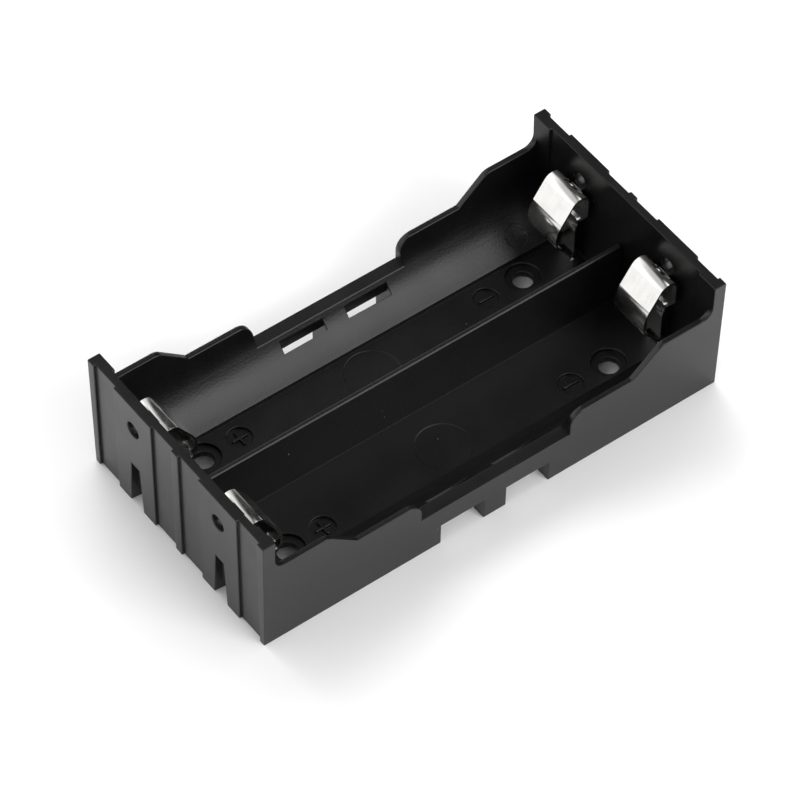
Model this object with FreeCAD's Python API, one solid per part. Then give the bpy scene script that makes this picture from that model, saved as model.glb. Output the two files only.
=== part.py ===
import FreeCAD, Part
import math
import os

V = FreeCAD.Vector

# Two-bay holder for cylindrical cells: one moulded tray and four bent strip contacts.
# Millimetres. X runs along the cells, Y across them, Z up from the surface it rests on.
# The origin is the middle of the footprint. The plus end is at -X, the minus end at +X.

# Cell bays
bay_width = 18.5
bay_length = 73.0
cradle_floor_gap = 0.3
floor_top_z = 2.45
floor_thickness = 1.7
floor_step = 0.75

# Divider between the bays, drafted so that it is wider at its foot
divider_top_width = 0.9
divider_foot_width = 1.9
divider_top_z = 12.1

# Outer walls
holder_height = 21.0
side_wall = 1.05
end_wall = 2.0
end_wall_top = 1.6
end_wall_pad = 2.6
side_draft = 0.38
end_draft = 0.21
cradle_shell = 1.2
underside_floor_margin = 0.7

# Rim of the long walls: high at the ends, a shoulder, a slope, a waist and a low finger gap
shoulder_z = 15.35
shoulder_corner_radius = 1.8
slope_top_x = 27.8
slope_foot_x = 23.0
slope_round = 2.0
waist_z = 11.25
waist_round = 2.3
gap_half_length = 12.5
gap_z = 7.35

# Relief on the outside of the end walls: corner posts, a panel over each bay, a middle rib
relief_depth = 0.38
post_width = 1.45
panel_width = 8.6
middle_rib_width = 1.5

# Slots for a strap, with a notch in the skirt below each and a foot between the notches
strap_foot_width = 3.8
strap_slot_length = 7.2
strap_slot_width = 1.2
strap_slot_offset = 7.55
skirt_notch_height = 3.75
strap_rib = 1.2

# Mounting screws
screw_spacing_x = 54.7
screw_bore = 3.0
screw_head_bore = 5.05
screw_head_depth = 0.65

# Marks of the ejector pins in the bay floors
ejector_mark = 8.0
ejector_mark_depth = 0.1
ejector_spacing_y = 16.2

# Strip contacts
strip_thickness = 0.3
strip_width = 6.4
leg_width = 2.9
leg_inset = 1.2
back_inset = 0.5
tail_z = 0.4
tail_width = 1.4
tail_shoulder_z = 2.3
leg_top_z = 7.9
leg_end_z = 10.3
leg_end_corner = 0.6
back_foot_z = 9.45
shoulder_taper_z = 9.6
shoulder_full_z = 12.2
jog_radius = 1.5
crest_start_z = 15.15
crest_radius = 1.5
crest_turn = 146.0
leaf_straight = 3.4
belly_radius = 4.85
belly_turn = 48.0
curl_radius = 1.4
curl_turn = 52.0

# Opening in the back of each contact, with a short tongue that leans towards a hole in the end wall
catch_opening = 2.5
catch_opening_drop = 0.25
catch_opening_turn = 73.0
catch_tongue = 2.1
catch_bend_radius = 0.35
catch_bend_turn = 50.0
catch_length = 0.33
wall_hole = 2.6
wall_hole_z = 16.2

# Slots that the contacts need in the tray
leg_slot_width = 1.0
leg_slot_clearance = 0.12
lead_slot_top_width = 1.9
lead_slot_foot_width = 2.9
lead_slot_height = 8.45
lead_slot_draft = 0.2

# Worked out from the sizes above
OVERCUT = 1.0
half_x = bay_length / 2 + end_wall
half_y = divider_top_width / 2 + bay_width + side_wall
wall_inner_x = bay_length / 2
wall_inner_y = divider_top_width / 2 + bay_width
bay_centre_y = (divider_top_width + bay_width) / 2
cradle_radius = bay_width / 2
cradle_axis_z = floor_top_z + cradle_floor_gap + cradle_radius
skirt_inner_y = half_y - side_draft - side_wall
floor_under_z = floor_top_z - floor_thickness
catch_root_z = crest_start_z - catch_opening_drop
SIDES = (-1, 1)


def rounded_face(corners, plane):
    """A flat face from corners (a, b, radius) in plane 'XZ' or 'YZ', corners rounded by arcs."""
    def lift(p):
        return V(p.x, 0, p.y) if plane == "XZ" else V(0, p.x, p.y)

    starts = []
    arcs = []
    count = len(corners)
    for i in range(count):
        here = V(corners[i][0], corners[i][1], 0)
        before = V(corners[i - 1][0], corners[i - 1][1], 0)
        after = V(corners[(i + 1) % count][0], corners[(i + 1) % count][1], 0)
        radius = corners[i][2]
        if radius == 0:
            starts.append((here, here))
            arcs.append(None)
            continue
        to_before = (before - here).normalize()
        to_after = (after - here).normalize()
        half_angle = to_before.getAngle(to_after) / 2
        reach = radius / math.tan(half_angle)
        bisector = (to_before + to_after).normalize()
        middle = here + bisector * (radius / math.sin(half_angle) - radius)
        first = here + to_before * reach
        last = here + to_after * reach
        starts.append((first, last))
        arcs.append(Part.Arc(lift(first), lift(middle), lift(last)).toShape())
    edges = []
    for i in range(count):
        if arcs[i]:
            edges.append(arcs[i])
        leave = starts[i][1]
        arrive = starts[(i + 1) % count][0]
        if (leave - arrive).Length > 1e-6:
            edges.append(Part.makeLine(lift(leave), lift(arrive)))
    return Part.Face(Part.Wire(edges))


def block(x0, x1, y0, y1, z0, z1):
    """A box between the given limits."""
    return Part.makeBox(x1 - x0, y1 - y0, z1 - z0, V(x0, y0, z0))


def drafted_block(end_inset):
    """The outer form of the tray: its foot is smaller than its rim by the draft of the mould."""
    def rectangle(hx, hy, z):
        corners = [V(-hx, -hy, z), V(hx, -hy, z), V(hx, hy, z), V(-hx, hy, z)]
        return Part.makePolygon(corners + corners[:1])

    foot = rectangle(half_x - end_inset - end_draft, half_y - side_draft, 0)
    rim = rectangle(half_x - end_inset, half_y, holder_height)
    return Part.makeLoft([foot, rim], True, True)


def outer_form():
    """Walls with the raised posts, panels and rib that stand proud of the end faces."""
    raised = drafted_block(0)
    bands = [(-middle_rib_width / 2, middle_rib_width / 2)]
    for side in SIDES:
        centre = side * bay_centre_y
        bands.append((centre - panel_width / 2, centre + panel_width / 2))
        post = sorted((side * (half_y - post_width), side * (half_y + OVERCUT)))
        bands.append(tuple(post))
    strips = [raised.common(block(-half_x - OVERCUT, half_x + OVERCUT, y0, y1, 0, holder_height))
              for y0, y1 in bands]
    return drafted_block(relief_depth).multiFuse(strips)


def bay_cavity():
    """Both bays and the space above the divider, as one profile run along the bays."""
    step_z = floor_top_z + floor_step
    step_drop = cradle_axis_z - step_z
    step_y = bay_centre_y + math.sqrt(cradle_radius ** 2 - step_drop ** 2)
    top_z = holder_height + OVERCUT
    slant = math.radians(-45)
    arc_y = bay_centre_y + cradle_radius * math.cos(slant)
    arc_z = cradle_axis_z + cradle_radius * math.sin(slant)

    def point(side, y, z):
        return V(0, side * y, z)

    edges = []
    for side in SIDES:
        line = [point(side, 0, divider_top_z), point(side, divider_top_width / 2, divider_top_z),
                point(side, divider_foot_width / 2, floor_top_z), point(side, step_y, floor_top_z),
                point(side, step_y, step_z)]
        edges += [Part.makeLine(a, b) for a, b in zip(line, line[1:])]
        edges.append(Part.Arc(point(side, step_y, step_z), point(side, arc_y, arc_z),
                              point(side, wall_inner_y, cradle_axis_z)).toShape())
        edges.append(Part.makeLine(point(side, wall_inner_y, cradle_axis_z),
                                   point(side, wall_inner_y, top_z)))
    edges.append(Part.makeLine(point(-1, wall_inner_y, top_z), point(1, wall_inner_y, top_z)))
    face = Part.Face(Part.Wire(Part.__sortEdges__(edges)))
    face.translate(V(-wall_inner_x, 0, 0))
    return face.extrude(V(bay_length, 0, 0))


def end_wall_drafts():
    """The wedge that thins each end wall towards its top, between full pads in the corners."""
    top_z = holder_height + OVERCUT
    lean = (end_wall - end_wall_top) / (holder_height - floor_top_z)
    half_width = wall_inner_y - end_wall_pad
    wedges = []
    for end in SIDES:
        face = rounded_face([(end * wall_inner_x, floor_top_z, 0),
                             (end * (wall_inner_x + lean * (top_z - floor_top_z)), top_z, 0),
                             (end * wall_inner_x, top_z, 0)], "XZ")
        face.translate(V(0, -half_width, 0))
        wedges.append(face.extrude(V(0, 2 * half_width, 0)))
    return wedges


def rim_cut():
    """What is cut out of the long walls above their stepped rim."""
    top_z = holder_height + OVERCUT
    half = [(gap_half_length, gap_z, 0), (gap_half_length, waist_z, waist_round),
            (slope_foot_x, waist_z, 0), (slope_top_x, shoulder_z, slope_round),
            (wall_inner_x, shoulder_z, shoulder_corner_radius), (wall_inner_x, top_z, 0)]
    mirrored = [(-x, z, r) for x, z, r in reversed(half)]
    face = rounded_face(half + mirrored, "XZ")
    cuts = []
    for side in SIDES:
        wall = face.copy()
        wall.translate(V(0, side * bay_centre_y, 0))
        cuts.append(wall.extrude(V(0, side * (half_y - bay_centre_y + OVERCUT), 0)))
    return cuts


def underside_hollow():
    """The space under the floor and outside the cradles, open at the bottom."""
    outer_radius = cradle_radius + cradle_shell
    step_drop = cradle_axis_z - floor_top_z - floor_step
    slab_y = bay_centre_y + math.sqrt(cradle_radius ** 2 - step_drop ** 2) + underside_floor_margin
    slab_z = cradle_axis_z - math.sqrt(outer_radius ** 2 - (slab_y - bay_centre_y) ** 2)
    apex_z = cradle_axis_z - math.sqrt(outer_radius ** 2 - (skirt_inner_y - bay_centre_y) ** 2)
    mid_y = (slab_y + skirt_inner_y) / 2
    mid_z = cradle_axis_z - math.sqrt(outer_radius ** 2 - (mid_y - bay_centre_y) ** 2)

    def point(side, y, z):
        return V(0, side * y, z)

    edges = []
    for side in SIDES:
        inner = [point(side, 0, floor_under_z), point(side, slab_y, floor_under_z),
                 point(side, slab_y, slab_z)]
        edges += [Part.makeLine(a, b) for a, b in zip(inner, inner[1:])]
        edges.append(Part.Arc(point(side, slab_y, slab_z), point(side, mid_y, mid_z),
                              point(side, skirt_inner_y, apex_z)).toShape())
        edges.append(Part.makeLine(point(side, skirt_inner_y, apex_z),
                                   point(side, skirt_inner_y, -OVERCUT)))
    edges.append(Part.makeLine(point(-1, skirt_inner_y, -OVERCUT), point(1, skirt_inner_y, -OVERCUT)))
    face = Part.Face(Part.Wire(Part.__sortEdges__(edges)))
    face.translate(V(-wall_inner_x, 0, 0))
    hollow = face.extrude(V(bay_length, 0, 0))
    return hollow.cut(Part.Compound(strap_ribs(slab_y)))


def strap_ribs(inner_y):
    """The foot between the strap slots and the rib at the far end of each, down to the skirt."""
    near = strap_foot_width / 2
    far = near + strap_slot_length
    ribs = []
    for side in SIDES:
        y0, y1 = sorted((side * inner_y, side * half_y))
        ribs.append(block(-near, near, y0, y1, 0, holder_height))
        for end in SIDES:
            x0, x1 = sorted((end * far, end * (far + strap_rib)))
            ribs.append(block(x0, x1, y0, y1, 0, holder_height))
    return ribs


def strap_cuts():
    """The slot through each cradle wall and the notch in the skirt below it."""
    near = strap_foot_width / 2
    far = near + strap_slot_length
    slot_y = bay_centre_y + strap_slot_offset
    cuts = []
    for side in SIDES:
        for end in SIDES:
            x0, x1 = sorted((end * near, end * far))
            y0, y1 = sorted((side * slot_y, side * (slot_y - strap_slot_width)))
            cuts.append(block(x0, x1, y0, y1, -OVERCUT, waist_z))
            y0, y1 = sorted((side * (skirt_inner_y - OVERCUT), side * (half_y + OVERCUT)))
            cuts.append(block(x0, x1, y0, y1, -OVERCUT, skirt_notch_height))
    return cuts


def floor_cuts():
    """Counterbored screw holes and the shallow round marks of the ejector pins."""
    cuts = []
    for side in SIDES:
        for end in SIDES:
            x = end * screw_spacing_x / 2
            y = side * bay_centre_y
            cuts.append(Part.makeCylinder(screw_bore / 2, floor_top_z + 2 * OVERCUT, V(x, y, -OVERCUT)))
            cuts.append(Part.makeCylinder(screw_head_bore / 2, screw_head_depth + OVERCUT,
                                          V(x, y, floor_top_z - screw_head_depth)))
        cuts.append(Part.makeCylinder(ejector_mark / 2, ejector_mark_depth + OVERCUT,
                                      V(0, side * ejector_spacing_y / 2,
                                        floor_top_z - ejector_mark_depth)))
    return cuts


def lead_slot_profile(x, narrowed):
    """Outline across X of the tapering slot at the foot of an end wall, narrowed on both sides."""
    foot = lead_slot_foot_width / 2 - narrowed
    top = lead_slot_top_width / 2 - narrowed
    corners = [(-foot, -OVERCUT), (foot, -OVERCUT), (foot, 0), (top, lead_slot_height), (-top, lead_slot_height),
               (-foot, 0), (-foot, -OVERCUT)]
    return Part.makePolygon([V(x, y, z) for y, z in corners])


def contact_cuts():
    """For each contact a slot in the floor, a tapering slot and a round hole in the end wall."""
    leg_x = wall_inner_x - leg_inset + strip_thickness / 2 + leg_slot_clearance
    half_slot = leg_width / 2 + leg_slot_clearance
    cuts = []
    for side in SIDES:
        y = side * bay_centre_y
        for end in SIDES:
            x0, x1 = sorted((end * leg_x, end * (leg_x - leg_slot_width)))
            cuts.append(block(x0, x1, y - half_slot, y + half_slot, -OVERCUT, floor_top_z + OVERCUT))
            slot = Part.makeLoft([lead_slot_profile(end * wall_inner_x, lead_slot_draft),
                                  lead_slot_profile(end * half_x, 0)], True, True)
            slot.translate(V(0, y, 0))
            cuts.append(slot)
            cuts.append(Part.makeCylinder(wall_hole / 2, end_wall + OVERCUT,
                                          V(end * wall_inner_x, y, wall_hole_z), V(end, 0, 0)))
    return cuts


def tray():
    """The moulded tray, one piece."""
    body = outer_form()
    cuts = [bay_cavity(), underside_hollow()]
    cuts += end_wall_drafts() + rim_cut() + strap_cuts() + floor_cuts() + contact_cuts()
    return body.cut(Part.Compound(cuts)).removeSplitter()


def contact_moves():
    """Centre lines of the leg and of the spring, as straight runs and bends of the press tool.

    A run is (length, 0). A bend is (radius, turn in degrees), positive to the left, seen with
    the wall on the left and the cell on the right.
    """
    jog = leg_inset - back_inset - strip_thickness
    jog_turn = math.degrees(math.acos(1 - jog / (2 * jog_radius)))
    jog_rise = 2 * jog_radius * math.sin(math.radians(jog_turn))
    leg = [(leg_top_z - tail_z, 0), (jog_radius, jog_turn), (jog_radius, -jog_turn),
           (leg_end_z - leg_top_z - jog_rise, 0)]
    leaf = [(crest_radius, -crest_turn), (leaf_straight, 0), (belly_radius, -belly_turn),
            (curl_radius, -curl_turn)]
    return leg, leaf


def walk(moves, start, heading, offset):
    """Edges and points of a path of runs and bends, shifted to its left by offset, in XZ."""
    def left(angle):
        return V(-math.sin(angle), 0, math.cos(angle))

    edges = []
    here = start + left(heading) * offset
    for size, turn in moves:
        if turn == 0:
            there = here + V(math.cos(heading), 0, math.sin(heading)) * size
            edges.append(Part.makeLine(here, there))
        else:
            sign = math.copysign(1, turn)
            radius = size - sign * offset
            centre = here + left(heading) * sign * radius
            middle = centre - left(heading + math.radians(turn) / 2) * sign * radius
            heading += math.radians(turn)
            there = centre - left(heading) * sign * radius
            edges.append(Part.Arc(here, middle, there).toShape())
        here = there
    return edges, here, heading


def strip(moves, start, heading, width):
    """A strip bent along the moves, centred on Y = 0, with the point and heading where it ends."""
    half = strip_thickness / 2
    one, one_end, end_heading = walk(moves, start, heading, half)
    other, other_end, end_heading = walk(moves, start, heading, -half)
    side = V(-math.sin(heading), 0, math.cos(heading)) * half
    caps = [Part.makeLine(start + side, start - side), Part.makeLine(one_end, other_end)]
    face = Part.Face(Part.Wire(Part.__sortEdges__(one + other + caps)))
    face.translate(V(0, -width / 2, 0))
    return face.extrude(V(0, width, 0)), (one_end + other_end) * 0.5, end_heading


def leg_outline():
    """The leg seen from the cell: a narrow tail below the floor and round corners at its top."""
    half = [(tail_width / 2, tail_z, 0), (tail_width / 2, tail_shoulder_z, 0),
            (leg_width / 2, tail_shoulder_z, 0), (leg_width / 2, leg_end_z, leg_end_corner)]
    mirrored = [(-y, z, r) for y, z, r in reversed(half)]
    return rounded_face(half + mirrored, "YZ").extrude(V(leg_inset + strip_thickness, 0, 0))


def spring_back():
    """The back of the spring, which tapers down to the leg's width where the leg overlaps it."""
    run = [(crest_start_z - back_foot_z, 0)]
    back, top, heading = strip(run, V(back_inset, 0, back_foot_z), math.pi / 2, strip_width)
    for side in SIDES:
        outside = side * (strip_width / 2 + OVERCUT)
        outline = [(side * leg_width / 2, back_foot_z - OVERCUT, 0), (side * leg_width / 2, shoulder_taper_z, 0),
                   (side * strip_width / 2, shoulder_full_z, 0), (outside, shoulder_full_z, 0),
                   (outside, back_foot_z - OVERCUT, 0)]
        back = back.cut(rounded_face(outline, "YZ").extrude(V(back_inset + strip_thickness, 0, 0)))
    return back, top, heading


def contact():
    """One contact, leg and spring, with its wall plane at X = 0 and the cell on its +X side."""
    leg_moves, leaf_moves = contact_moves()
    leg, leg_end, heading = strip(leg_moves, V(leg_inset, 0, tail_z), math.pi / 2, leg_width)
    back, crest_foot, heading = spring_back()
    leaf, tip, heading = strip(leaf_moves, crest_foot, heading, strip_width)
    opening_x = back_inset + crest_radius * (1 - math.cos(math.radians(catch_opening_turn)))
    opening = block(0, opening_x, -catch_opening / 2, catch_opening / 2, catch_root_z, holder_height)
    tongue_moves = [(catch_bend_radius, catch_bend_turn), (catch_length, 0)]
    tongue, tip, heading = strip(tongue_moves, V(back_inset, 0, catch_root_z), math.pi / 2, catch_tongue)
    return back.fuse(leaf).cut(opening).fuse([tongue, leg.common(leg_outline())]).removeSplitter()


def placed_contact(end, side):
    """The contact in the bay on one side, against the end wall at -X or +X."""
    piece = contact()
    if end > 0:
        piece.rotate(V(0, 0, 0), V(0, 0, 1), 180)
    piece.translate(V(end * wall_inner_x, side * bay_centre_y, 0))
    return piece


def main():
    os.makedirs("parts", exist_ok=True)
    tray().exportStep("parts/cell_tray.step")
    for end, sign in ((-1, "positive"), (1, "negative")):
        for side, bay in ((-1, "front"), (1, "rear")):
            placed_contact(end, side).exportStep(f"parts/{sign}_contact_{bay}.step")


main()
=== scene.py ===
"""Looks of a two-bay cell holder: a black moulded tray with bright strip contacts."""

import logging
from dataclasses import dataclass
from enum import Enum

import bmesh
import bpy
import numpy as np
from mathutils import Matrix, Vector

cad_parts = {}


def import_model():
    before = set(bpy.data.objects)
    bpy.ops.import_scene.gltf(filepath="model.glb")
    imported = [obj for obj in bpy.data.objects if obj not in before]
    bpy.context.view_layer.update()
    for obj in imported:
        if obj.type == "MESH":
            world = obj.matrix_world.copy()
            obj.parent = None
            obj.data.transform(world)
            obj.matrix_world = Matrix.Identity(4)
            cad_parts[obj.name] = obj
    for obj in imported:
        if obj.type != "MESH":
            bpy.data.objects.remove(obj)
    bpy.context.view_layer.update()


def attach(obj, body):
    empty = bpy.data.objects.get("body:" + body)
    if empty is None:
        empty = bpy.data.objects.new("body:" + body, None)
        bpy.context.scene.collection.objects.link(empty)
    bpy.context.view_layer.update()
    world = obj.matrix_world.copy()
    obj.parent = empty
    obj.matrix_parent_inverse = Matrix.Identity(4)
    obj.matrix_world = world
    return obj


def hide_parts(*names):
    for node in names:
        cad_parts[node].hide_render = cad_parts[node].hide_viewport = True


LOG = logging.getLogger("cell_holder")
MM = 0.001
EDGE_STEPS = 2                  # flats in each rounded edge

Socket = bpy.types.NodeSocket
Colour = tuple[float, float, float]
Place = tuple[float, float, float]
Span = tuple[float, float]      # start and end of a range
Forms = list[bpy.types.Object]


class Bay(Enum):
    """The two bays of the tray, with the side of the middle line that each lies on."""

    FRONT = -1
    REAR = 1


class Polarity(Enum):
    """The sign moulded into the floor at each end, with the end of the X axis that it stands at."""

    PLUS = -1
    MINUS = 1


class NodeKit:
    """Short calls that add and join shader nodes in one material or world."""

    def __init__(self, tree: bpy.types.NodeTree) -> None:
        """Takes over a node tree and empties it.

        Args:
            tree: the node tree to build in.
        """
        self.tree = tree
        tree.nodes.clear()

    def add(self, kind: str, **settings: object) -> bpy.types.Node:
        """Adds a node.

        Args:
            kind: Blender's class name of the node.
            **settings: properties set on it.

        Returns:
            The new node.
        """
        node = self.tree.nodes.new(kind)
        for name, value in settings.items():
            setattr(node, name, value)
        return node

    def join(self, source: Socket, target: Socket) -> None:
        """Links an output socket to an input socket."""
        self.tree.links.new(source, target)

    def noise(self, vector: Socket, scale: float, detail: float) -> Socket:
        """Adds a noise texture.

        Args:
            vector: the coordinates that it reads.
            scale: grains in a metre.
            detail: octaves of finer grain.

        Returns:
            Its value socket.
        """
        node = self.add("ShaderNodeTexNoise")
        node.inputs["Scale"].default_value = scale
        node.inputs["Detail"].default_value = detail
        self.join(vector, node.inputs["Vector"])
        return node.outputs["Fac"]

    def spread(self, value: Socket, read: Span, given: Span = (0.0, 1.0),
               smooth: bool = False) -> Socket:
        """Maps a value from one range to another, and holds it at the ends.

        Args:
            value: the socket to map.
            read: the range read.
            given: what its start and its end become.
            smooth: True for a smooth step, False for a straight line.

        Returns:
            The mapped value's socket.
        """
        node = self.add("ShaderNodeMapRange",
                        interpolation_type="SMOOTHSTEP" if smooth else "LINEAR")
        for name, number in zip(("From Min", "From Max", "To Min", "To Max"), (*read, *given)):
            node.inputs[name].default_value = number
        self.join(value, node.inputs["Value"])
        return node.outputs["Result"]

    def maths(self, operation: str, first: Socket, second: Socket | float) -> Socket:
        """Adds a Math node.

        Args:
            operation: what it does, in Blender's words.
            first: its first input.
            second: its second input, a socket or a number.

        Returns:
            Its value socket.
        """
        node = self.add("ShaderNodeMath", operation=operation)
        self.join(first, node.inputs[0])
        if isinstance(second, (int, float)):
            node.inputs[1].default_value = second
        else:
            self.join(second, node.inputs[1])
        return node.outputs[0]

    def shades(self, value: Socket, dark: Colour, light: Colour) -> Socket:
        """Runs a value through a ramp between two colours.

        Args:
            value: the socket that picks the shade.
            dark: colour at zero.
            light: colour at one.

        Returns:
            The colour socket.
        """
        ramp = self.add("ShaderNodeValToRGB")
        ramp.color_ramp.elements[0].color = (*dark, 1.0)
        ramp.color_ramp.elements[1].color = (*light, 1.0)
        self.join(value, ramp.inputs["Fac"])
        return ramp.outputs["Color"]

    def bump(self, height: Socket, full: float, shader: bpy.types.Node) -> None:
        """Tilts the shine of a shader as if its surface rose and sank.

        Args:
            height: the height's socket, from zero to one.
            full: how high one stands, in metres.
            shader: the shader.
        """
        node = self.add("ShaderNodeBump")
        node.inputs["Strength"].default_value = 1.0
        node.inputs["Distance"].default_value = full
        self.join(height, node.inputs["Height"])
        self.join(node.outputs["Normal"], shader.inputs["Normal"])

    def show(self, source: Socket, output: str = "ShaderNodeOutputMaterial") -> None:
        """Joins a shader to a new output of the material or the world."""
        self.join(source, self.add(output).inputs["Surface"])


def blank_material(name: str) -> tuple[bpy.types.Material, NodeKit]:
    """Makes a material with no nodes in it.

    Args:
        name: the material's name.
    """
    material = bpy.data.materials.new(name)
    material.use_nodes = True
    return material, NodeKit(material.node_tree)


@dataclass(frozen=True)
class MouldedPlastic:
    """Black injection-moulded plastic: satin, finely spark-eroded, with a few specks of dust."""

    name: str = "moulded_black_plastic"
    dark: Colour = (0.0026, 0.0026, 0.0027)
    light: Colour = (0.0044, 0.0044, 0.0046)
    ior: float = 1.5
    roughness: float = 0.34
    roughness_spread: float = 0.06
    sheen_range: Span = (0.4, 1.2)          # of cloud and grain together, from smooth to rough
    grain_size: float = 0.30 * MM
    grain_detail: float = 2.0
    grain_height: float = 0.03 * MM
    grain_share: float = 0.6                # what the grain adds to the roughness, clouds add one
    cloud_size: float = 6.0 * MM
    cloud_detail: float = 3.0
    cloud_range: Span = (0.3, 0.7)          # of the clouds, from dark to light
    speck_cell: float = 2.6 * MM
    speck_radius: float = 0.085 * MM
    speck_core: float = 0.6                 # share of the radius inside the speck's soft rim
    speck_share: float = 0.26
    speck_colour: Colour = (0.30, 0.30, 0.29)

    def build(self) -> bpy.types.Material:
        """Builds the material.

        Returns:
            The material, read on Object coordinates.
        """
        material, kit = blank_material(self.name)
        place = kit.add("ShaderNodeTexCoord").outputs["Object"]
        cloud = kit.noise(place, 1 / self.cloud_size, self.cloud_detail)
        grain = kit.noise(place, 1 / self.grain_size, self.grain_detail)
        shader = kit.add("ShaderNodeBsdfPrincipled")
        shader.inputs["IOR"].default_value = self.ior
        uneven = kit.maths("ADD", cloud, kit.maths("MULTIPLY", grain, self.grain_share))
        sheen = (self.roughness - self.roughness_spread, self.roughness + self.roughness_spread)
        kit.join(kit.spread(uneven, self.sheen_range, sheen), shader.inputs["Roughness"])
        mix = kit.add("ShaderNodeMix", data_type="RGBA")
        kit.join(self.specks(kit, place), mix.inputs["Factor"])
        base = kit.shades(kit.spread(cloud, self.cloud_range), self.dark, self.light)
        kit.join(base, mix.inputs["A"])
        mix.inputs["B"].default_value = (*self.speck_colour, 1.0)
        kit.join(mix.outputs["Result"], shader.inputs["Base Color"])
        kit.bump(grain, self.grain_height, shader)
        kit.show(shader.outputs["BSDF"])
        return material

    def specks(self, kit: NodeKit, place: Socket) -> Socket:
        """Scatters small round specks: the surface is divided in cells, and a few have one.

        Args:
            kit: the material's node kit.
            place: the coordinates.

        Returns:
            A socket that is one on a speck and zero beside it.
        """
        cells = kit.add("ShaderNodeTexVoronoi", feature="F1")
        cells.inputs["Scale"].default_value = 1 / self.speck_cell
        kit.join(place, cells.inputs["Vector"])
        reach = self.speck_radius / self.speck_cell
        rim = (reach * self.speck_core, reach)
        near = kit.spread(cells.outputs["Distance"], rim, (1.0, 0.0), smooth=True)
        channels = kit.add("ShaderNodeSeparateColor")
        kit.join(cells.outputs["Color"], channels.inputs["Color"])
        chosen = kit.maths("LESS_THAN", channels.outputs["Red"], self.speck_share)
        return kit.maths("MULTIPLY", near, chosen)


@dataclass(frozen=True)
class NickelPlate:
    """Bright nickel plate on spring strip, with the fine lines of rolling along the strip."""

    name: str = "bright_nickel_plate"
    dark: Colour = (0.83, 0.82, 0.795)
    light: Colour = (0.90, 0.89, 0.865)
    tone_range: Span = (0.35, 0.65)         # of lines and stains together, from dark to light
    roughness: float = 0.16
    roughness_spread: float = 0.07
    line_width: float = 0.16 * MM
    line_length: float = 6.0 * MM
    line_detail: float = 3.0
    line_height: float = 0.0025 * MM
    line_share: float = 0.5
    stain_size: float = 1.6 * MM
    stain_detail: float = 4.0
    stain_share: float = 0.5
    stain_range: Span = (0.3, 0.7)          # of the stains, from smooth to rough

    def build(self) -> bpy.types.Material:
        """Builds the material.

        Returns:
            The material, read on Object coordinates with its lines side by side across Y.
        """
        material, kit = blank_material(self.name)
        place = kit.add("ShaderNodeTexCoord").outputs["Object"]
        stretch = kit.add("ShaderNodeMapping")
        along, across = 1 / self.line_length, 1 / self.line_width
        stretch.inputs["Scale"].default_value = (along, across, along)
        kit.join(place, stretch.inputs["Vector"])
        lines = kit.noise(stretch.outputs["Vector"], 1.0, self.line_detail)
        stain = kit.noise(place, 1 / self.stain_size, self.stain_detail)
        blend = kit.maths("ADD", kit.maths("MULTIPLY", lines, self.line_share),
                          kit.maths("MULTIPLY", stain, self.stain_share))
        shader = kit.add("ShaderNodeBsdfPrincipled")
        shader.inputs["Metallic"].default_value = 1.0
        tone = kit.shades(kit.spread(blend, self.tone_range), self.dark, self.light)
        kit.join(tone, shader.inputs["Base Color"])
        sheen = (self.roughness - self.roughness_spread, self.roughness + self.roughness_spread)
        kit.join(kit.spread(stain, self.stain_range, sheen), shader.inputs["Roughness"])
        kit.bump(blend, self.line_height, shader)
        kit.show(shader.outputs["BSDF"])
        return material


@dataclass(frozen=True)
class WhiteTable:
    """A matte white table that keeps the tray's shadow.

    Shiny faces see it white as far as a round sheet would reach, and dark grey beyond.
    """

    name: str = "white_table"
    colour: Colour = (0.92, 0.92, 0.92)
    lift: float = 0.01                      # glow of the table where it is looked at
    beyond: Colour = (0.12, 0.12, 0.12)
    sheet_middle: Place = (-0.035, -0.05, 0.0)
    sheet_radius: float = 0.085
    sheet_fade: float = 0.04

    def build(self) -> bpy.types.Material:
        """Builds the material.

        Returns:
            The material of the table.
        """
        material, kit = blank_material(self.name)
        paths = kit.add("ShaderNodeLightPath")
        span = kit.add("ShaderNodeVectorMath", operation="DISTANCE")
        kit.join(kit.add("ShaderNodeTexCoord").outputs["Object"], span.inputs[0])
        span.inputs[1].default_value = self.sheet_middle
        edge = (self.sheet_radius, self.sheet_radius + self.sheet_fade)
        mirrored = kit.maths("MULTIPLY", kit.spread(span.outputs["Value"], edge),
                             paths.outputs["Is Glossy Ray"])
        matte = kit.add("ShaderNodeBsdfDiffuse")
        kit.join(kit.shades(mirrored, self.colour, self.beyond), matte.inputs["Color"])
        seen = kit.maths("MAXIMUM", paths.outputs["Is Camera Ray"], paths.outputs["Is Glossy Ray"])
        seen = kit.maths("MAXIMUM", seen, paths.outputs["Is Transmission Ray"])
        glow = kit.add("ShaderNodeEmission")
        kit.join(kit.maths("MULTIPLY", seen, self.lift), glow.inputs["Strength"])
        both = kit.add("ShaderNodeAddShader")
        kit.join(matte.outputs["BSDF"], both.inputs[0])
        kit.join(glow.outputs["Emission"], both.inputs[1])
        kit.show(both.outputs["Shader"])
        return material


def mesh_object(name: str, points: np.ndarray, faces: list) -> bpy.types.Object:
    """Makes a mesh object at the origin and links it to the scene.

    Args:
        name: the piece's name.
        points: corner positions in metres, one row each.
        faces: rows of corner numbers.

    Returns:
        The object.
    """
    mesh = bpy.data.meshes.new(name)
    mesh.from_pydata(points.tolist(), [], [list(map(int, face)) for face in faces])
    mesh.update()
    made = bpy.data.objects.new(name, mesh)
    bpy.context.scene.collection.objects.link(made)
    return made


def rectangle(x: np.ndarray | Span, y: np.ndarray | Span) -> np.ndarray:
    """The corners of a rectangle from its two X and its two Y, counter-clockwise from above."""
    return np.array([(x[0], y[0]), (x[1], y[0]), (x[1], y[1]), (x[0], y[1])])


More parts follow.
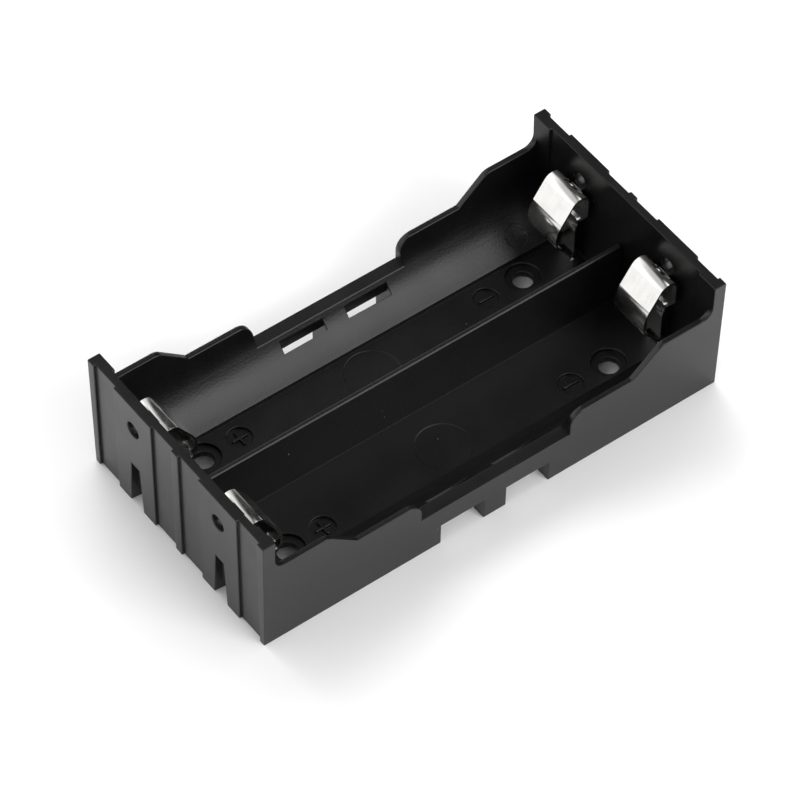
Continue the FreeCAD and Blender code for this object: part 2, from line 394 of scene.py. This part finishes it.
def prism(name: str, outline: np.ndarray, low: float, high: float) -> bpy.types.Object:
    """A closed upright prism: the outline at two heights, quads between them and a cap on each.

    Args:
        name: the piece's name.
        outline: corners of the outline in X and Y, counter-clockwise from above.
        low: height of its foot.
        high: height of its top.

    Returns:
        The prism.
    """
    count = len(outline)
    heights = np.repeat([low, high], count)[:, None]
    points = np.hstack([np.vstack([outline, outline]), heights])
    here = np.arange(count)
    after = (here + 1) % count
    sides = np.stack([here, after, after + count, here + count], 1)
    return mesh_object(name, points, [*sides, here[::-1], here + count])


def bent_disc(name: str, along: float, angle: float, axis: tuple[float, float, int], radii: Span,
              reach: float) -> bpy.types.Object:
    """A closed disc bent round a cylinder that lies along X, between two radii of that cylinder.

    A corner at the distance s from the disc's middle, in the disc's direction t, stands s cos t
    further along X. Round the cylinder it stands at the angle a, which is the middle's angle and
    s sin t over the outer radius. So it lies radius times cos a to the side of the axis and
    radius times sin a below it.

    Args:
        name: the piece's name.
        along: X of the disc's middle.
        angle: angle of its middle below the horizon, seen from the cylinder's axis.
        axis: Y and Z of the cylinder's axis, and the side that the disc lies on.
        radii: the cylinder's inner and outer radius.
        reach: radius of the disc itself.

    Returns:
        The bent disc.
    """
    turns, rings = 48, 6
    t = np.linspace(0, 2 * np.pi, turns, endpoint=False)
    s = np.linspace(1, 0, rings, endpoint=False)[:, None] * reach
    a = angle + s * np.sin(t) / radii[1]
    middle, height, side = axis
    shells = []
    for radius in radii:
        ring = np.stack([along + s * np.cos(t), middle + side * radius * np.cos(a),
                         height - radius * np.sin(a)], 2)
        tip = [[along, middle + side * radius * np.cos(angle), height - radius * np.sin(angle)]]
        shells.append(np.vstack([ring.reshape(-1, 3), tip]))
    size = turns * rings + 1
    i, k = np.meshgrid(np.arange(rings - 1) * turns, np.arange(turns), indexing="ij")
    k2 = (k + 1) % turns
    quads = np.stack([i + k, i + k2, i + turns + k2, i + turns + k], 2).reshape(-1, 4)
    rim = np.arange(turns)
    rim2 = np.roll(rim, -1)
    last = (rings - 1) * turns
    fan = np.stack([last + rim, last + rim2, np.full(turns, size - 1)], 1)
    wall = np.stack([rim, rim2, rim2 + size, rim + size], 1)
    faces = [*quads, *fan, *(quads[:, ::-1] + size), *(fan[:, ::-1] + size), *wall[:, ::-1]]
    return mesh_object(name, np.vstack(shells), faces)


def face_outwards(mesh: bpy.types.Mesh) -> None:
    """Turns every face of a closed mesh outwards.

    Args:
        mesh: the mesh.
    """
    work = bmesh.new()
    work.from_mesh(mesh)
    bmesh.ops.recalc_face_normals(work, faces=work.faces)
    work.to_mesh(mesh)
    work.free()


@dataclass
class Tray:
    """The moulded tray: the CAD form with its marks sunk in it and its edges softened."""

    plastic: bpy.types.Material
    name: str = "moulded_tray"

    # The raised signs in their round pads, sunk in the floors.
    floor_z: float = 2.45 * MM
    plus_x: float = 21.37 * MM
    minus_x: float = 20.8 * MM
    sign_y: float = 9.6 * MM
    pad_depth: float = 0.46 * MM
    pad_radius: float = 1.84 * MM
    pad_corners: int = 64
    line_width: float = 0.44 * MM
    arm: float = 1.28 * MM
    sign_sink: float = 0.02 * MM

    # The shallow round mark in the rear cradle.
    bay_centre_y: float = 9.7 * MM
    cradle_axis_z: float = 12.0 * MM
    cradle_radius: float = 9.25 * MM
    witness_x: float = 30.1 * MM
    witness_angle: float = np.radians(55.4)
    witness_radius: float = 1.8 * MM
    witness_depth: float = 0.08 * MM
    witness_stand: float = 0.5 * MM         # how far its cutter stands out into the bay

    # The openings behind the legs' feet, and the skins that close the lead slots above them.
    wall_inner_x: float = 36.5 * MM
    foot_gap_start: float = 35.4 * MM
    foot_gap_width: float = 2.3 * MM
    foot_gap_top: float = 1.65 * MM
    skin_inset: float = 0.2 * MM
    skin_depth: float = 0.5 * MM
    skin_width: float = 3.2 * MM
    skin_top_z: float = 9.0 * MM

    # How far each kind of edge is softened, and where the edges of that kind lie.
    edge: float = 0.13 * MM
    fine_edge: float = 0.11 * MM
    inner_edge: float = 0.025 * MM
    ridge_edge: float = 0.27 * MM
    sharp_angle: float = np.radians(28.0)
    sign_zone_x: float = 23.5 * MM
    sign_zone_y: Span = (4.0 * MM, 12.4 * MM)
    witness_zone_z: Span = (3.45 * MM, 8.0 * MM)
    ridge_z: float = 12.1 * MM
    ridge_half_width: float = 0.6 * MM
    ridge_slack: float = 0.05 * MM

    # Working measures of the cuts and of the clean mesh.
    underside_z: float = 1.0 * MM           # below it the triangles stay as they are
    weld_gap: float = 0.002 * MM
    join_gap: float = 0.004 * MM
    flat_angle: float = np.radians(0.6)
    overlap: float = 0.1 * MM               # how far a form goes past the face that it meets
    stand: float = 1.0 * MM                 # how far a cutter stands out of the tray
    hair: float = 0.01 * MM                 # slack in height of the edges on the signs
    flat_weight: int = 90                   # above 50, large faces set the shading of their rims

    def build(self) -> None:
        """Builds the tray from its CAD node and stands it in that node's place."""
        body = self.merged_copy("cell_tray")
        for cutter in [*self.sign_pads(), *self.foot_cutters(), self.witness_mark()]:
            self.combine(body, cutter, "DIFFERENCE")
        for form in [*self.signs(), *self.slot_skins()]:
            self.combine(body, form, "UNION")
        self.clean(body.data)
        self.soften(body)
        body.data.materials.clear()
        body.data.materials.append(self.plastic)
        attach(body, "root")
        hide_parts("cell_tray")
        LOG.info("tray: %d faces before its edges are softened", len(body.data.polygons))

    def merged_copy(self, node: str) -> bpy.types.Object:
        """Copies a CAD node and merges the copy's loose triangles.

        Args:
            node: the CAD node.

        Returns:
            The copy, one closed mesh.
        """
        mesh = bpy.data.objects[node].data.copy()
        work = bmesh.new()
        work.from_mesh(mesh)
        bmesh.ops.remove_doubles(work, verts=work.verts, dist=self.weld_gap)
        work.to_mesh(mesh)
        work.free()
        copy = bpy.data.objects.new(self.name, mesh)
        bpy.context.scene.collection.objects.link(copy)
        return copy

    def sign_places(self) -> list[tuple[Polarity, Bay, Span]]:
        """Which sign stands where on the floors.

        Returns:
            For each sign its polarity, its bay and its middle in X and Y.
        """
        reach = {Polarity.PLUS: self.plus_x, Polarity.MINUS: self.minus_x}
        return [(polarity, bay, (polarity.value * reach[polarity], bay.value * self.sign_y))
                for polarity in Polarity for bay in Bay]

    def sign_pads(self) -> Forms:
        """The round recesses in the floor that the signs stand in.

        Returns:
            The cutting forms.
        """
        turn = np.linspace(0, 2 * np.pi, self.pad_corners, endpoint=False)
        circle = self.pad_radius * np.stack([np.cos(turn), np.sin(turn)], 1)
        low, high = self.floor_z - self.pad_depth, self.floor_z + self.stand
        return [prism(f"pad_{polarity.name}_{bay.name}", circle + np.array(centre), low, high)
                for polarity, bay, centre in self.sign_places()]

    def signs(self) -> Forms:
        """The raised plus and minus signs in their recesses.

        Returns:
            The signs.
        """
        half, arm = self.line_width / 2, self.arm
        outlines = {
            Polarity.PLUS: np.array([(-arm, -half), (-half, -half), (-half, -arm), (half, -arm),
                                     (half, -half), (arm, -half), (arm, half), (half, half),
                                     (half, arm), (-half, arm), (-half, half), (-arm, half)]),
            Polarity.MINUS: rectangle((-arm, arm), (-half, half)),
        }
        low = self.floor_z - self.pad_depth - self.overlap
        high = self.floor_z - self.sign_sink
        return [prism(f"sign_{polarity.name}_{bay.name}", outlines[polarity] + np.array(centre),
                      low, high) for polarity, bay, centre in self.sign_places()]

    def witness_mark(self) -> bpy.types.Object:
        """The shallow round mark in the rear cradle near the minus end.

        Returns:
            The cutting form.
        """
        axis = (self.bay_centre_y, self.cradle_axis_z, Bay.REAR.value)
        radii = (self.cradle_radius - self.witness_stand, self.cradle_radius + self.witness_depth)
        return bent_disc("witness", self.witness_x, self.witness_angle, axis, radii,
                         self.witness_radius)

    def foot_cutters(self) -> Forms:
        """What is open in the floor behind the foot of each leg.

        Returns:
            The cutting forms.
        """
        reach = (self.foot_gap_start, self.wall_inner_x + self.overlap)
        return self.leg_blocks("foot", reach, self.foot_gap_width, (-self.stand, self.foot_gap_top))

    def slot_skins(self) -> Forms:
        """The thin skin that closes each lead slot towards the bay, above the opening at the foot.

        Returns:
            The skins.
        """
        start = self.wall_inner_x + self.skin_inset
        reach = (start, start + self.skin_depth)
        return self.leg_blocks("skin", reach, self.skin_width, (self.foot_gap_top, self.skin_top_z))

    def leg_blocks(self, kind: str, reach: Span, width: float, heights: Span) -> Forms:
        """Upright blocks at the legs of the four contacts.

        Args:
            kind: first word of their names.
            reach: how far from the tray's middle they start and end along X.
            width: their width across the bay.
            heights: height of their foot and of their top.

        Returns:
            The blocks.
        """
        made = []
        for polarity in Polarity:
            for bay in Bay:
                x = np.sort(polarity.value * np.array(reach))
                y = bay.value * self.bay_centre_y + width * np.array([-0.5, 0.5])
                name = f"{kind}_{polarity.name}_{bay.name}"
                made.append(prism(name, rectangle(x, y), *heights))
        return made

    def combine(self, body: bpy.types.Object, form: bpy.types.Object, operation: str) -> None:
        """Cuts a form out of the tray or joins it on, and removes the form.

        Args:
            body: the tray.
            form: the form.
            operation: DIFFERENCE to cut it out, UNION to join it on.
        """
        face_outwards(form.data)
        cut = body.modifiers.new("combine", "BOOLEAN")
        cut.operation = operation
        cut.solver = "EXACT"
        cut.object = form
        bpy.context.view_layer.update()
        evaluated = body.evaluated_get(bpy.context.evaluated_depsgraph_get())
        mesh = bpy.data.meshes.new_from_object(evaluated)
        body.modifiers.clear()
        body.data = mesh
        bpy.data.objects.remove(form)

    def clean(self, mesh: bpy.types.Mesh) -> None:
        """Joins flat triangles into whole faces, shades smooth and weights the sharp edges.

        Args:
            mesh: the tray's mesh.
        """
        work = bmesh.new()
        work.from_mesh(mesh)
        bmesh.ops.remove_doubles(work, verts=work.verts, dist=self.join_gap)
        corners = [vert for vert in work.verts if vert.co.z > self.underside_z]
        lines = [edge for edge in work.edges if edge.verts[0].co.z > self.underside_z]
        bmesh.ops.dissolve_limit(work, angle_limit=self.flat_angle, verts=corners, edges=lines,
                                 delimit={"NORMAL"})
        weights = work.edges.layers.float.new("bevel_weight_edge")
        for edge in work.edges:
            edge[weights] = self.softening(edge) / self.ridge_edge
            edge.smooth = True
        for face in work.faces:
            face.smooth = True
        work.to_mesh(mesh)
        work.free()
        mesh.name = self.name

    def softening(self, edge: bmesh.types.BMEdge) -> float:
        """How far an edge is softened: by a hair in corners, finely on signs, most on the divider.

        Args:
            edge: the edge.

        Returns:
            The width in metres, zero where the surface hardly turns.
        """
        place = (edge.verts[0].co + edge.verts[1].co) / 2
        in_witness = (abs(place.x - self.witness_x) < self.witness_radius + self.overlap
                      and place.y > self.bay_centre_y
                      and self.witness_zone_z[0] < place.z < self.witness_zone_z[1])
        in_sign = (abs(place.x) < self.sign_zone_x
                   and self.sign_zone_y[0] < abs(place.y) < self.sign_zone_y[1]
                   and -self.pad_depth - self.hair < place.z - self.floor_z < self.hair)
        on_ridge = (abs(place.y) < self.ridge_half_width
                    and abs(place.z - self.ridge_z) < self.ridge_slack)
        if edge.calc_face_angle(0.0) < self.sharp_angle:
            return 0.0
        if not edge.is_convex or in_witness:
            return self.inner_edge
        if in_sign:
            return self.fine_edge
        return self.ridge_edge if on_ridge else self.edge

    def soften(self, body: bpy.types.Object) -> None:
        """Rounds the weighted edges and evens the shading of the flat faces.

        Args:
            body: the tray.
        """
        bevel = body.modifiers.new("edges", "BEVEL")
        bevel.width = self.ridge_edge
        bevel.segments = EDGE_STEPS
        bevel.limit_method = "WEIGHT"
        bevel.use_clamp_overlap = False
        bevel.harden_normals = True
        even = body.modifiers.new("even", "WEIGHTED_NORMAL")
        even.keep_sharp = False
        even.mode = "FACE_AREA"
        even.weight = self.flat_weight


@dataclass
class Contacts:
    """The four bent strip contacts, dressed as they come from CAD."""

    plate: bpy.types.Material
    edge: float = 0.06 * MM
    sharp_angle: float = np.radians(40.0)
    weld_gap: float = 0.001 * MM
    nodes: tuple[str, ...] = ("positive_contact_front", "positive_contact_rear",
                              "negative_contact_front", "negative_contact_rear")

    def build(self) -> None:
        """Gives each contact its finish and rounds the sheared edges of its strip."""
        for name in self.nodes:
            contact = bpy.data.objects[name]
            contact.data.materials.clear()
            contact.data.materials.append(self.plate)
            weld = contact.modifiers.new("weld", "WELD")
            weld.merge_threshold = self.weld_gap
            bevel = contact.modifiers.new("edges", "BEVEL")
            bevel.width = self.edge
            bevel.segments = EDGE_STEPS
            bevel.limit_method = "ANGLE"
            bevel.angle_limit = self.sharp_angle
            bevel.harden_normals = True
            LOG.info("contact %s: dressed", name)


@dataclass(frozen=True)
class Softbox:
    """A square soft lamp that faces the tray."""

    name: str
    place: Place
    size: float
    power: float

    def build(self) -> None:
        """Adds the lamp to the scene, out of sight of glossy faces."""
        light = bpy.data.lights.new(self.name, "AREA")
        light.shape = "SQUARE"
        light.size = self.size
        light.energy = self.power
        lamp = bpy.data.objects.new(self.name, light)
        lamp.location = self.place
        lamp.rotation_euler = (-lamp.location).to_track_quat("-Z", "Y").to_euler()
        lamp.visible_glossy = False
        bpy.context.scene.collection.objects.link(lamp)


@dataclass(frozen=True)
class Card:
    """A round white card in the sky, seen only in the shine of the faces.

    It hangs in the direction aim, with its light fading in over its rim.
    """

    aim: Place
    rim: Span
    gain: float


@dataclass
class Studio:
    """White table, plain soft light and the camera of the photograph.

    Each fall and rise is a range of how nearly a direction of the sky points up, and each rim of
    how nearly it points along the direction given with it: one along it, zero square to it.
    """

    table: bpy.types.Material
    floor_size: float = 8.0

    # The sky that lights matte faces: bright all round, and dark low down but for the back.
    sky_around: float = 1.85
    sky_overhead: float = 0.15
    sky_fall: Span = (0.64, 0.84)
    sky_rise: Span = (0.12, 0.38)
    low_back: Place = (0.30, 0.95, 0.0)
    low_rim: Span = (-0.1, 0.8)
    low_levels: Span = (0.02, 1.6)          # how much of the low sky is left, away and at the back

    # The sky that shiny faces mirror: pale all round, with a dark side and two white cards.
    gloss_around: float = 1.05
    gloss_overhead: float = 0.16
    gloss_foot: float = 0.15                # share of it left at the horizon
    gloss_fall: Span = (0.55, 0.88)
    gloss_rise: Span = (0.02, 0.07)
    dark_side: Place = (0.84, 0.24, 0.46)
    dark_rim: Span = (0.70, 0.87)
    dark_rest: float = 0.03                 # share of it left in the dark side
    cards: tuple[Card, ...] = (Card((0.50, -0.46, 0.74), (0.76, 0.95), 3.1),
                               Card((-0.50, 0.506, 0.70), (0.68, 0.82), 0.58))
    lamps: tuple[Softbox, ...] = (Softbox("back_softbox", (0.12, 0.72, 0.62), 0.75, 3.6),
                                  Softbox("front_softbox", (0.25, -0.85, 0.50), 0.60, 5.6))

    # The camera: its place, and where the picture's right, its foot and its depth point.
    camera_place: Place = (-0.261741, -0.340933, 0.525185)
    camera_right: Place = (0.801356, -0.598118, 0.009106)
    camera_down: Place = (-0.456685, -0.621555, -0.636482)
    camera_forward: Place = (0.386351, 0.505890, -0.771238)
    focal_pixels: float = 4950.2
    frame_pixels: float = 800.0
    sensor: float = 36.0
    clip: Span = (0.05, 20.0)

    def build(self) -> None:
        """Builds the floor, the lamps, the sky and the camera."""
        self.build_floor()
        for lamp in self.lamps:
            lamp.build()
        self.build_sky()
        self.build_camera()
        LOG.info("studio: floor, lamps, sky and camera")

    def build_floor(self) -> None:
        """A flat square floor under the tray's foot."""
        half = self.floor_size / 2
        corners = rectangle((-half, half), (-half, half))
        floor = mesh_object("table_top", np.pad(corners, ((0, 0), (0, 1))), [(0, 1, 2, 3)])
        floor.data.materials.append(self.table)

    def build_sky(self) -> None:
        """A sky that is white to the camera, with one sky for matte and one for shiny faces."""
        world = bpy.data.worlds.new("studio")
        bpy.context.scene.world = world
        world.use_nodes = True
        kit = NodeKit(world.node_tree)
        way = kit.add("ShaderNodeTexCoord").outputs["Generated"]
        height = self.towards(kit, way, (0.0, 0.0, 1.0))
        paths = kit.add("ShaderNodeLightPath")
        strength = kit.add("ShaderNodeMix", data_type="FLOAT")
        kit.join(paths.outputs["Is Glossy Ray"], strength.inputs["Factor"])
        kit.join(self.matte_sky(kit, way, height), strength.inputs["A"])
        kit.join(self.shiny_sky(kit, way, height), strength.inputs["B"])
        seen = kit.maths("MAXIMUM", paths.outputs["Is Camera Ray"],
                         paths.outputs["Is Transmission Ray"])
        background = kit.add("ShaderNodeBackground")
        total = kit.maths("MAXIMUM", seen, strength.outputs["Result"])
        kit.join(total, background.inputs["Strength"])
        kit.show(background.outputs["Background"], "ShaderNodeOutputWorld")

    def matte_sky(self, kit: NodeKit, way: Socket, height: Socket) -> Socket:
        """The sky that lights matte faces.

        Args:
            kit: the sky's node kit.
            way: the direction looked in.
            height: how nearly it points up.

        Returns:
            The strength of the sky.
        """
        around = kit.spread(height, self.sky_fall, (self.sky_around, self.sky_overhead),
                            smooth=True)
        back = kit.spread(self.towards(kit, way, self.low_back), self.low_rim, self.low_levels,
                          smooth=True)
        above = kit.spread(height, self.sky_rise)
        return kit.maths("MULTIPLY", around, kit.maths("MAXIMUM", back, above))

    def shiny_sky(self, kit: NodeKit, way: Socket, height: Socket) -> Socket:
        """The sky that shiny faces mirror, with its dark side and its cards.

        Args:
            kit: the sky's node kit.
            way: the direction looked in.
            height: how nearly it points up.

        Returns:
            The strength of the sky.
        """
        around = kit.spread(height, self.gloss_fall, (self.gloss_around, self.gloss_overhead),
                            smooth=True)
        foot = kit.spread(height, self.gloss_rise, (self.gloss_foot, 1.0), smooth=True)
        dark = kit.spread(self.towards(kit, way, self.dark_side), self.dark_rim,
                          (1.0, self.dark_rest), smooth=True)
        gloss = kit.maths("MULTIPLY", kit.maths("MULTIPLY", around, foot), dark)
        for card in self.cards:
            near = self.towards(kit, way, card.aim)
            shine = kit.spread(near, card.rim, (0.0, card.gain), smooth=True)
            gloss = kit.maths("ADD", gloss, shine)
        return gloss

    def towards(self, kit: NodeKit, way: Socket, aim: Place) -> Socket:
        """How nearly a direction of the sky points along another.

        Args:
            kit: the sky's node kit.
            way: the direction looked in.
            aim: the direction compared with.

        Returns:
            The cosine of the angle between the two.
        """
        dot = kit.add("ShaderNodeVectorMath", operation="DOT_PRODUCT")
        kit.join(way, dot.inputs[0])
        dot.inputs[1].default_value = tuple(Vector(aim).normalized())
        return dot.outputs["Value"]

    def build_camera(self) -> None:
        """The camera at the photograph's place, turn and focal length."""
        data = bpy.data.cameras.new("camera")
        data.sensor_fit = "HORIZONTAL"
        data.sensor_width = self.sensor
        data.lens = self.focal_pixels / self.frame_pixels * self.sensor
        data.clip_start, data.clip_end = self.clip
        camera = bpy.data.objects.new("camera", data)
        axes = Matrix((self.camera_right, -Vector(self.camera_down), -Vector(self.camera_forward)))
        turn = axes.transposed().to_4x4()
        camera.matrix_world = Matrix.Translation(self.camera_place) @ turn
        bpy.context.scene.collection.objects.link(camera)
        bpy.context.scene.camera = camera


def write_sizes() -> None:
    """Brings the view layer up to date; no sizes are written.
    """
    bpy.context.view_layer.update()


def main() -> None:
    """Builds the studio, the tray and the contacts, in that order."""
    logging.basicConfig(level=logging.INFO, format="%(message)s")
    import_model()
    bpy.context.scene.view_settings.view_transform = "Standard"
    Studio(WhiteTable().build()).build()
    Tray(MouldedPlastic().build()).build()
    Contacts(NickelPlate().build()).build()
    write_sizes()


if __name__ == "__main__":
    main()
